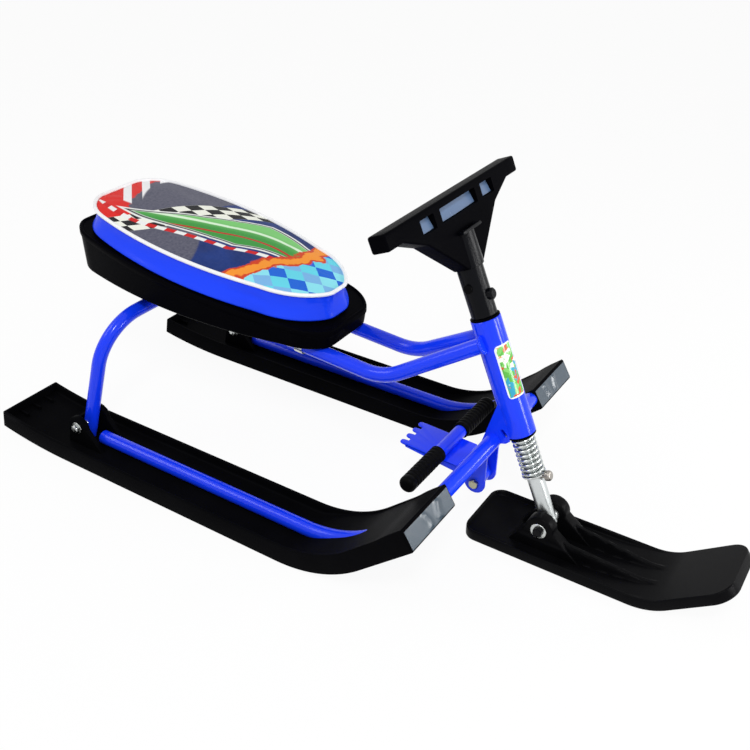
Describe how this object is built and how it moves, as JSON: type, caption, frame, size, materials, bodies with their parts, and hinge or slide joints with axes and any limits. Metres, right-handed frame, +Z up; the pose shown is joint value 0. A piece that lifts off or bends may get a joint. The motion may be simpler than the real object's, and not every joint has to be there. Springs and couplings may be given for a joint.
{
  "type": "steering snow sled",
  "caption": "Child's steering snow sled: padded seat on a bent tube frame over rear skis, with a sprung, steered front ski, a steering yoke and a foot brake.",
  "frame": {"origin": "on the snow, under the middle of the sled's length and width", "axes": "+X forward to the front ski's tip, +Y to the rider's left, +Z up"},
  "size_m": [1.1366, 0.5, 0.4925],
  "materials": {
    "frame_paint": "gloss",
    "ski_plastic": "satin",
    "black_plastic": "satin",
    "zinc_steel": "bright zinc",
    "yellow_zinc_steel": "yellow zinc",
    "grip_rubber": "matte",
    "seat_vinyl": "soft gloss"
  },
  "bodies": {
    "frame": {"rear_ski_left": "ski_plastic", "rear_ski_right": "ski_plastic", "rear_arch": "frame_paint", "rear_ski_bolts": "zinc_steel", "rear_ski_nuts": "zinc_steel", "rear_ski_washers": "zinc_steel", "lower_tube_left": "frame_paint", "lower_tube_right": "frame_paint", "cross_tube": "frame_paint", "head_tube": "frame_paint", "main_tube_left": "frame_paint", "main_tube_right": "frame_paint", "tube_plugs": "black_plastic", "gusset_left": "frame_paint", "gusset_right": "frame_paint", "brake_bolt": "yellow_zinc_steel", "brake_nut": "yellow_zinc_steel", "seat_tray": "black_plastic", "seat_cushion": "seat_vinyl", "seat_clips": "zinc_steel", "seat_screws": "zinc_steel"},
    "steering": {"lower_bush": "black_plastic", "upper_bush": "black_plastic", "front_spring": "zinc_steel"},
    "column": {"column": "zinc_steel", "spring_seat": "zinc_steel", "stop_bolt": "zinc_steel", "steering_wheel": "black_plastic", "wheel_screw": "zinc_steel"},
    "front_ski": {"front_ski": "ski_plastic", "ski_pivot_bolt": "zinc_steel", "ski_pivot_nut": "zinc_steel", "ski_pivot_washers": "zinc_steel"},
    "brake": {"brake_plate": "frame_paint", "brake_foot_bar": "frame_paint", "brake_grip_left": "grip_rubber", "brake_grip_right": "grip_rubber"}
  },
  "joints": [
    {"name": "steer", "type": "hinge", "parent": "frame", "child": "steering", "pos_m": [0.2407, 0, 0.17], "axis": [-0.4003, 0, 0.9164], "range_deg": [-40, 40]},
    {"name": "suspension", "type": "slide", "parent": "steering", "child": "column", "axis": [-0.4003, 0, 0.9164], "range_m": [0, 0.02], "stiffness_N_per_m": 6000, "springref_m": -0.012, "deforming": ["front_spring"]},
    {"name": "ski_pitch", "type": "hinge", "parent": "column", "child": "front_ski", "pos_m": [0.29635, 0, 0.04263], "axis": [0, 1, 0], "range_deg": [-18, 8]},
    {"name": "brake_press", "type": "hinge", "parent": "frame", "child": "brake", "pos_m": [0.1857, 0, 0.07], "axis": [0, -1, 0], "range_deg": [0, 46], "stiffness_Nm_per_rad": 1.5, "springref_deg": -28.65}
  ]
}
